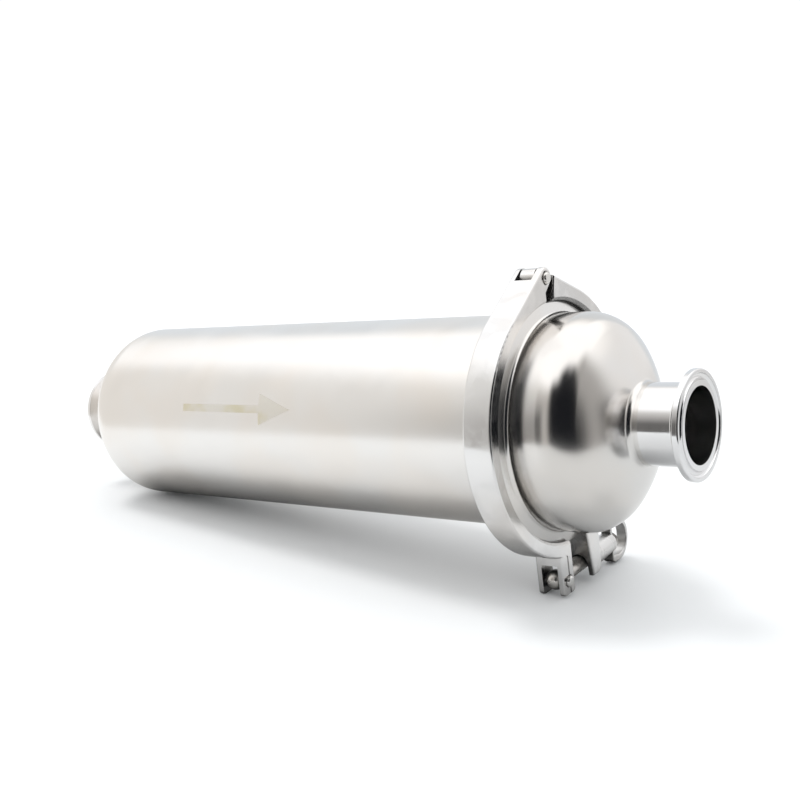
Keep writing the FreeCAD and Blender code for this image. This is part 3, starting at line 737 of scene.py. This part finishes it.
def woven_wire(name, wires_per_metre):
    """Woven sleeve: crossed sine waves along the tube and round it, as height and shade."""
    material, tree, shader = new_material(name)
    x, y, z = node(tree, "SeparateXYZ", (-1120, 0), {
        "Vector": here(tree, (-1300, 0))}).outputs
    turn = maths(tree, (-940, -150), "ARCTAN2", z, y)
    wires_round = round(2 * math.pi * SLEEVE_RADIUS * wires_per_metre)
    along = maths(tree, (-760, 100), "MULTIPLY", x, 2 * math.pi * wires_per_metre)
    around = maths(tree, (-760, -150), "MULTIPLY", turn, float(wires_round))
    crossed = maths(tree, (-400, 0), "MULTIPLY", maths(tree, (-580, 100), "SINE", along),
                    maths(tree, (-580, -150), "SINE", around))
    shade = spread(tree, (-220, 100), crossed, -1.0, 1.0, kind="LINEAR")
    feed(shader, {"Metallic": 1.0, "Roughness": 0.38, "Base Color": blend(
        tree, (-20, 150), shade, (0.30, 0.30, 0.30, 1), (0.68, 0.68, 0.67, 1))})
    raised(tree, shader, crossed, strength=0.6, distance=0.1 * MM)
    return material


def finish_piece(piece, material, body, slot, *nodes):
    """Gives a piece its material and body, and hides the CAD nodes that it stands for."""
    piece.data.materials.clear()
    piece.data.materials.append(material)
    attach(piece, body)
    if nodes:
        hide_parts(*nodes)


class FILTER_OT_body(bpy.types.Operator):
    """Tube, far dished head and joint ferrule of the body"""
    bl_idname = "inline_filter.body"
    bl_label = "Build the body"

    def execute(self, context):
        sizes, look = context.scene.filter_sizes, context.scene.filter_finish
        satin = steel("Satin tube", look.tube_colour, look.tube_roughness, tint=0.014,
                      gloss_change=0.02, cloud_scale=30.0, lines=0.05, line_count=1800.0)
        bore = BODY_RADIUS - sizes.wall
        tube = turned("tube_skin", [(TUBE_LOW.x, BODY_RADIUS), (TUBE_HIGH.x, BODY_RADIUS),
                                    (TUBE_HIGH.x, bore), (TUBE_LOW.x, bore)])
        finish_piece(tube, satin, "housing", "satin_tube", "body_tube")
        head = turned("far_head", head_outline(sizes, TUBE_LOW.x, -1, 0.0))
        finish_piece(head, satin, "housing", "satin_tube", "inlet_dome")
        ferrule = turned("body_joint_ferrule", ferrule_outline(
            sizes, BODY_FERRULE_HIGH.x, -1, BODY_FERRULE_HIGH.x - BODY_FERRULE_LOW.x,
            BODY_FLANGE_RADIUS, BODY_RADIUS, bore, sizes.body_groove))
        finish_piece(ferrule, satin, "housing", "satin_tube", "body_clamp_ferrule")
        return {"FINISHED"}


class FILTER_OT_cap(bpy.types.Operator):
    """Dished cap with its straight skirt and joint ferrule"""
    bl_idname = "inline_filter.cap"
    bl_label = "Build the cap"

    def execute(self, context):
        sizes, look = context.scene.filter_sizes, context.scene.filter_finish
        polished = steel("Polished cap", look.cap_colour, look.cap_roughness, tint=0.012,
                         gloss_change=0.02, cloud_scale=28.0, lines=0.04, line_count=3000.0)
        head = turned("cap_head", head_outline(sizes, CAP_LOW.x, 1, sizes.cap_skirt))
        finish_piece(head, polished, "housing", "polished_cap", "cap_dome")
        ferrule = turned("cap_joint_ferrule", ferrule_outline(
            sizes, CAP_FERRULE_LOW.x, 1, CAP_FERRULE_HIGH.x - CAP_FERRULE_LOW.x,
            CAP_FERRULE_HIGH.z, BODY_RADIUS, BODY_RADIUS - sizes.wall, sizes.body_groove))
        finish_piece(ferrule, polished, "housing", "polished_cap", "cap_clamp_ferrule")
        return {"FINISHED"}


class FILTER_OT_ports(bpy.types.Operator):
    """Mirror-polished ferrules of the inlet and the outlet"""
    bl_idname = "inline_filter.ports"
    bl_label = "Build the ports"

    def execute(self, context):
        sizes, look = context.scene.filter_sizes, context.scene.filter_finish
        mirror = steel("Mirror port", look.port_colour, roughness=0.14, tint=0.015,
                       gloss_change=0.03, lines=0.04, line_count=4000.0)
        bore = sizes.port_radius - sizes.port_wall
        length = INLET_HIGH.x - INLET_LOW.x
        for name, cad, face, away in (("inlet_port", "inlet_ferrule", INLET_LOW.x, 1),
                                      ("outlet_port", "outlet_ferrule", OUTLET_HIGH.x, -1)):
            port = turned(name, ferrule_outline(sizes, face, away, length, PORT_FLANGE_RADIUS,
                                                sizes.port_radius, bore, sizes.port_groove))
            finish_piece(port, mirror, "housing", "mirror_port", cad)
        return {"FINISHED"}


class FILTER_OT_strainer(bpy.types.Operator):
    """Gasket and strainer inside the body"""
    bl_idname = "inline_filter.strainer"
    bl_label = "Build the strainer"

    def execute(self, context):
        sheet = steel("Strainer sheet", colour=(0.70, 0.70, 0.69), roughness=0.33,
                      cloud_scale=60.0)
        for cad in ("strainer_collar", "strainer_tube", "mesh_band_inlet", "mesh_band_outlet",
                    "strainer_end_plug"):
            finish_piece(welded(cad + "_sheet", cad), sheet, "housing", "strainer_steel", cad)
        wire = woven_wire("Woven wire", wires_per_metre=900.0)
        finish_piece(welded("wire_sleeve", "strainer_mesh"), wire, "housing", "wire_mesh",
                     "strainer_mesh")
        finish_piece(welded("joint_gasket", "main_gasket"), moulded_rubber("Gasket rubber"),
                     "housing", "gasket", "main_gasket")
        return {"FINISHED"}


class FILTER_OT_clamp(bpy.types.Operator):
    """Both cast halves of the ring clamp, with painted shade in their recesses, deeper and wider
    on the rear one
    """
    bl_idname = "inline_filter.clamp"
    bl_label = "Build the clamp"

    def execute(self, context):
        look = context.scene.filter_finish
        # Painted shade: each half's recesses are darkened, the rear half more deeply and over a
        # longer reach
        for name, cad, body, kind, recess_shade, reach in (
                ("clamp_front", "clamp_front_half", "housing", "Tumbled casting",
                 0.85, 8.0 * MM),
                ("clamp_rear", "clamp_rear_half", "rear_half", "Tumbled casting with deeper painted shade, closing half",
                 0.95, 30.0 * MM)):
            cast = steel(kind, look.clamp_colour, look.clamp_roughness, tint=0.04,
                         gloss_change=0.05, cloud_scale=90.0, grain=0.18, recess_shade=recess_shade,
                         reach=reach)
            finish_piece(welded(name, cad), cast, body, "cast_clamp", cad)
        return {"FINISHED"}


class FILTER_OT_fasteners(bpy.types.Operator):
    """Pins, swing bolt with its rolled thread, and loop nut"""
    bl_idname = "inline_filter.fasteners"
    bl_label = "Build the fasteners"

    def execute(self, context):
        sizes, look = context.scene.filter_sizes, context.scene.filter_finish
        pin_steel = steel("Turned pin", colour=(0.74, 0.735, 0.72), roughness=0.20, lines=0.05)
        for cad in ("clamp_hinge_pin", "bolt_pivot_pin"):
            finish_piece(welded(cad + "_steel", cad), pin_steel, "housing", "turned_pin", cad)
        # Painted shade darkens the bolt where it is closed in
        rolled = steel("Rolled bolt", look.bolt_colour, roughness=0.26, tint=0.06,
                       cloud_scale=150.0, recess_shade=0.8)
        finish_piece(swing_bolt("swing_bolt_steel", sizes), rolled, "swing_bolt", "bolt_steel",
                     "eye_bolt")
        # Painted shade darkens the loop nut's hollows, reaching far into its loop
        tumbled = steel("Tumbled nut", look.nut_colour, roughness=0.25, cloud_scale=110.0,
                        grain=0.15, recess_shade=0.92, reach=28.0 * MM)
        finish_piece(welded("loop_nut", "ring_nut"), tumbled, "nut", "cast_nut", "ring_nut")
        return {"FINISHED"}


class FILTER_OT_arrow(bpy.types.Operator):
    """Etched arrow that shows the direction of flow"""
    bl_idname = "inline_filter.arrow"
    bl_label = "Etch the flow arrow"

    def execute(self, context):
        sizes, look = context.scene.filter_sizes, context.scene.filter_finish
        mark = arrow_patch("flow_arrow", sizes, BODY_RADIUS + ARROW_STANDOFF)
        finish_piece(mark, etched("Etched mark", look.tube_colour, look.arrow_colour,
                                  look.arrow_roughness), "housing", "satin_tube")
        return {"FINISHED"}


# The studio's walls between its patches, the white that the camera sees behind the filter,
# and the tone of the even fill
STUDIO_BASE = (0.93, 0.915, 0.89, 1)
BACKDROP = {"Color": (1.0, 1.0, 1.0, 1), "Strength": 1.05}
FILL_TONE = (0.97, 0.99, 1.0, 1)

# Patches of the studio, as azimuths from -Y towards +X, elevations, how soft each edge is,
# and the brightness of red, green and blue
STUDIO_PATCHES = (
    ((-400, 400, 1), (45, 200, 10), (1.50, 1.50, 1.51)),
    ((-230, -122, 6), (-40, 38, 6), (0.82, 0.86, 0.90)),
    ((112, 200, 14), (-40, 30, 8), (1.05, 1.05, 1.06)),
    ((112, 200, 14), (30, 60, 8), (1.50, 1.50, 1.51)),
    ((125, 178, 10), (-40, -2, 6), (0.78, 0.78, 0.78)),
    ((-125, -80, 8), (34, 200, 8), (1.35, 1.35, 1.36)),
    ((-36, 14, 5), (-40, 40, 12), (0.60, 0.58, 0.56)),
    ((-31, -10, 6), (-40, 24, 13), (0.15, 0.145, 0.14)),
    ((76, 112, 9), (-40, 44, 10), (0.50, 0.49, 0.48)),
    ((100, 122, 6), (-16, 7, 6), (0.02, 0.02, 0.02)),
    ((7, 86, 7), (-60, 52, 9), (0.010, 0.011, 0.014)),
    ((37, 72, 12), (30, 60, 8), (0.010, 0.011, 0.014)),
)

# Edges of the table, as azimuths and distances from the cap's end, and half its uncut side
TABLE_EDGES = ((47.0, 0.34), (-29.0, 0.375), (150.0, 0.80))
TABLE_REACH = 6.0

# Painted shade on the floor as the steel mirrors it: how near the filter has to be to deepen it,
# the open shares between which it does, and its level in the narrowest gap
GAP_REACH = 55.0 * MM
GAP_OPEN = (0.1, 0.7)
GAP_PAINTED_SHADE = 0.25
# Between these stations the painted floor in the steel falls to the level that it has beside the
# cap
ASIDE_STATIONS = (0.16, 0.40)
ASIDE_PAINTED_SHADE = 0.79

SENSOR_WIDTH = 36.0
CLIP_START, CLIP_END = 0.01, 50.0


def span_mask(tree, place, value, low, high, soft):
    """Mask of a span of an angle: rises round its low edge and falls round its high edge."""
    edges = [spread(tree, place, value, math.radians(edge - soft), math.radians(edge + soft),
                    start, 1.0 - start) for edge, start in ((low, 0.0), (high, 1.0))]
    return maths(tree, place, "MULTIPLY", *edges)


def surroundings(name, fill):
    """Studio round the filter: white tent with a dark opening on the camera's side.

    Azimuth runs from -Y towards +X and elevation up from the horizon, both worked out from
    the direction that a ray leaves in. The camera sees plain white, and the floor takes an
    even fill.
    """
    world = bpy.data.worlds.new(name)
    tree = emptied(world)
    ahead = node(tree, "TexCoord", (-1500, 0)).outputs["Generated"]
    x, y, z = node(tree, "SeparateXYZ", (-1300, 0), {"Vector": ahead}).outputs
    azimuth = maths(tree, (-900, 100), "ARCTAN2", x,
                    maths(tree, (-1100, 150), "MULTIPLY", y, -1.0))
    elevation = maths(tree, (-900, -100), "ARCSINE", z)
    colour = STUDIO_BASE
    for step, (sideways, upward, tone) in enumerate(STUDIO_PATCHES):
        row = -250 * step
        mask = maths(tree, (-250, row), "MULTIPLY",
                     span_mask(tree, (-650, row), azimuth, *sideways),
                     span_mask(tree, (-450, row), elevation, *upward))
        colour = blend(tree, (-50, row), mask, colour, (*tone, 1))
    around = node(tree, "Background", (200, 100), {"Color": colour}).outputs[0]
    even = node(tree, "Background", (200, -300), {
        "Color": FILL_TONE, "Strength": fill}).outputs[0]
    behind = node(tree, "Background", (200, -100), BACKDROP).outputs[0]
    ray = node(tree, "LightPath", (200, 400)).outputs
    filled = either(tree, (450, 0), ray["Is Diffuse Ray"], around, even)
    node(tree, "OutputWorld", (850, 0), {
        "Surface": either(tree, (650, 0), ray["Is Camera Ray"], filled, behind)})
    return world


def floor_material(colour, mirrored):
    """Pale matt floor that shows from above only, so that a view from below isn't shut out.

    Where steel mirrors it, it is painted darker than the camera sees it, more so beside the cap
    than beside the tube, and most, as painted shade, in the narrow gap under the filter.
    """
    material = bpy.data.materials.new("Studio floor")
    tree = emptied(material)
    matt = node(tree, "BsdfDiffuse", (0, 100), {"Color": (*colour, 1)}).outputs[0]
    openness = node(tree, "AmbientOcclusion", (-600, 300), {"Distance": GAP_REACH},
                    samples=8).outputs["AO"]
    depth = spread(tree, (-400, 300), openness, *GAP_OPEN, GAP_PAINTED_SHADE * mirrored, mirrored,
                   "LINEAR")
    x = node(tree, "SeparateXYZ", (-800, 500), {
        "Vector": here(tree, (-1000, 500))}).outputs["X"]
    cap_side_painted_shade = spread(tree, (-600, 550), x, *ASIDE_STATIONS, 1.0, ASIDE_PAINTED_SHADE)
    level = maths(tree, (-300, 450), "MULTIPLY", depth, cap_side_painted_shade)
    # Painted reflection and shade: the floor that glossy rays see is a darker copy of the floor
    deeper = node(tree, "BsdfDiffuse", (-150, 300), {"Color": level}).outputs[0]
    mirror_ray = node(tree, "LightPath", (0, 550)).outputs["Is Glossy Ray"]
    seen = either(tree, (250, 250), mirror_ray, matt, deeper)
    clear = node(tree, "BsdfTransparent", (250, -100)).outputs[0]
    under = node(tree, "NewGeometry", (250, 550)).outputs["Backfacing"]
    node(tree, "OutputMaterial", (700, 0), {
        "Surface": either(tree, (500, 0), under, seen, clear)})
    return material


def lowest_along(direction):
    """Least distance of any CAD point along a direction: where a floor across it touches."""
    return min(float((cad_points(cad) @ np.array(direction)).min())
               for cad in frame["nodes"].values())


def table_top(name, foot, up):
    """Flat square round the foot, cut off along each of the table's edges."""
    across = up.orthogonal().normalized()
    ahead = up.cross(across)
    table = bmesh.new()
    corners = [table.verts.new(foot + across * i * TABLE_REACH + ahead * j * TABLE_REACH)
               for i, j in ((-1, -1), (1, -1), (1, 1), (-1, 1))]
    table.faces.new(corners)
    for azimuth, distance in TABLE_EDGES:
        turn = math.radians(azimuth)
        side = Vector((math.sin(turn), -math.cos(turn), 0))
        side = (side - up * side.dot(up)).normalized()
        bmesh.ops.bisect_plane(table, geom=table.verts[:] + table.edges[:] + table.faces[:],
                               plane_co=foot + side * distance, plane_no=side,
                               clear_outer=True)
    mesh = bpy.data.meshes.new(name)
    table.to_mesh(mesh)
    table.free()
    return placed(name, mesh)


def key_light(name, studio):
    """Broad soft light overhead, which the steel doesn't mirror."""
    light = bpy.data.lights.new(name, "SUN")
    light.energy = studio.key_strength
    light.angle = studio.key_spread
    lamp = placed(name, light)
    lamp.rotation_euler = Vector(studio.key_from).to_track_quat("Z", "Y").to_euler()
    lamp.visible_glossy = False


def studio_camera(name, studio):
    """Camera at its place, turned so that it looks ahead with its right side to the right."""
    lens = bpy.data.cameras.new(name)
    lens.sensor_width = SENSOR_WIDTH
    lens.lens = studio.lens
    lens.clip_start, lens.clip_end = CLIP_START, CLIP_END
    camera = placed(name, lens)
    ahead = Vector(studio.camera_ahead).normalized()
    right = Vector(studio.camera_right)
    right = (right - ahead * right.dot(ahead)).normalized()
    turn = Matrix((right, right.cross(ahead), -ahead)).transposed()
    camera.matrix_world = Matrix.Translation(studio.camera_place) @ turn.to_4x4()
    return camera


class FILTER_OT_studio(bpy.types.Operator):
    """Floor, light and camera"""
    bl_idname = "inline_filter.studio"
    bl_label = "Set up the studio"

    def execute(self, context):
        scene, studio = context.scene, context.scene.studio_look
        up = Vector(studio.floor_up).normalized()
        foot = Vector((CAP_HIGH.x, 0, 0))
        foot -= up * (foot.dot(up) - lowest_along(up))
        floor = table_top("studio_floor", foot, up)
        floor.data.materials.append(
            floor_material(studio.floor_colour, studio.painted_floor_reflection))
        key_light("Overhead light", studio)
        scene.world = surroundings("White tent", studio.fill)
        scene.view_settings.view_transform = "Standard"
        scene.view_settings.look = "None"
        scene.camera = studio_camera("Studio camera", studio)
        return {"FINISHED"}


STEPS = (FILTER_OT_body, FILTER_OT_cap, FILTER_OT_ports, FILTER_OT_strainer, FILTER_OT_clamp,
         FILTER_OT_fasteners, FILTER_OT_arrow, FILTER_OT_studio)


class FILTER_PT_panel(bpy.types.Panel):
    """Lists the steps that build the filter"""
    bl_idname = "FILTER_PT_panel"
    bl_label = "Inline filter"
    bl_space_type = "VIEW_3D"
    bl_region_type = "UI"
    bl_category = "Filter"

    def draw(self, context):
        for step in STEPS:
            self.layout.operator(step.bl_idname)


SETTINGS = (("filter_sizes", FilterSizes), ("filter_finish", FilterFinish),
            ("studio_look", StudioLook))


def register():
    for _, group in SETTINGS:
        bpy.utils.register_class(group)
    for step in STEPS:
        bpy.utils.register_class(step)
    bpy.utils.register_class(FILTER_PT_panel)
    for name, group in SETTINGS:
        setattr(bpy.types.Scene, name, PointerProperty(type=group))


def unregister():
    for name, _ in SETTINGS:
        delattr(bpy.types.Scene, name)
    bpy.utils.unregister_class(FILTER_PT_panel)
    for step in reversed(STEPS):
        bpy.utils.unregister_class(step)
    for _, group in SETTINGS:
        bpy.utils.unregister_class(group)


def main():
    """Builds everything in order."""
    register()
    bpy.ops.inline_filter.body()
    bpy.ops.inline_filter.cap()
    bpy.ops.inline_filter.ports()
    bpy.ops.inline_filter.strainer()
    bpy.ops.inline_filter.clamp()
    bpy.ops.inline_filter.fasteners()
    bpy.ops.inline_filter.arrow()
    bpy.ops.inline_filter.studio()


if __name__ == "__main__":
    main()
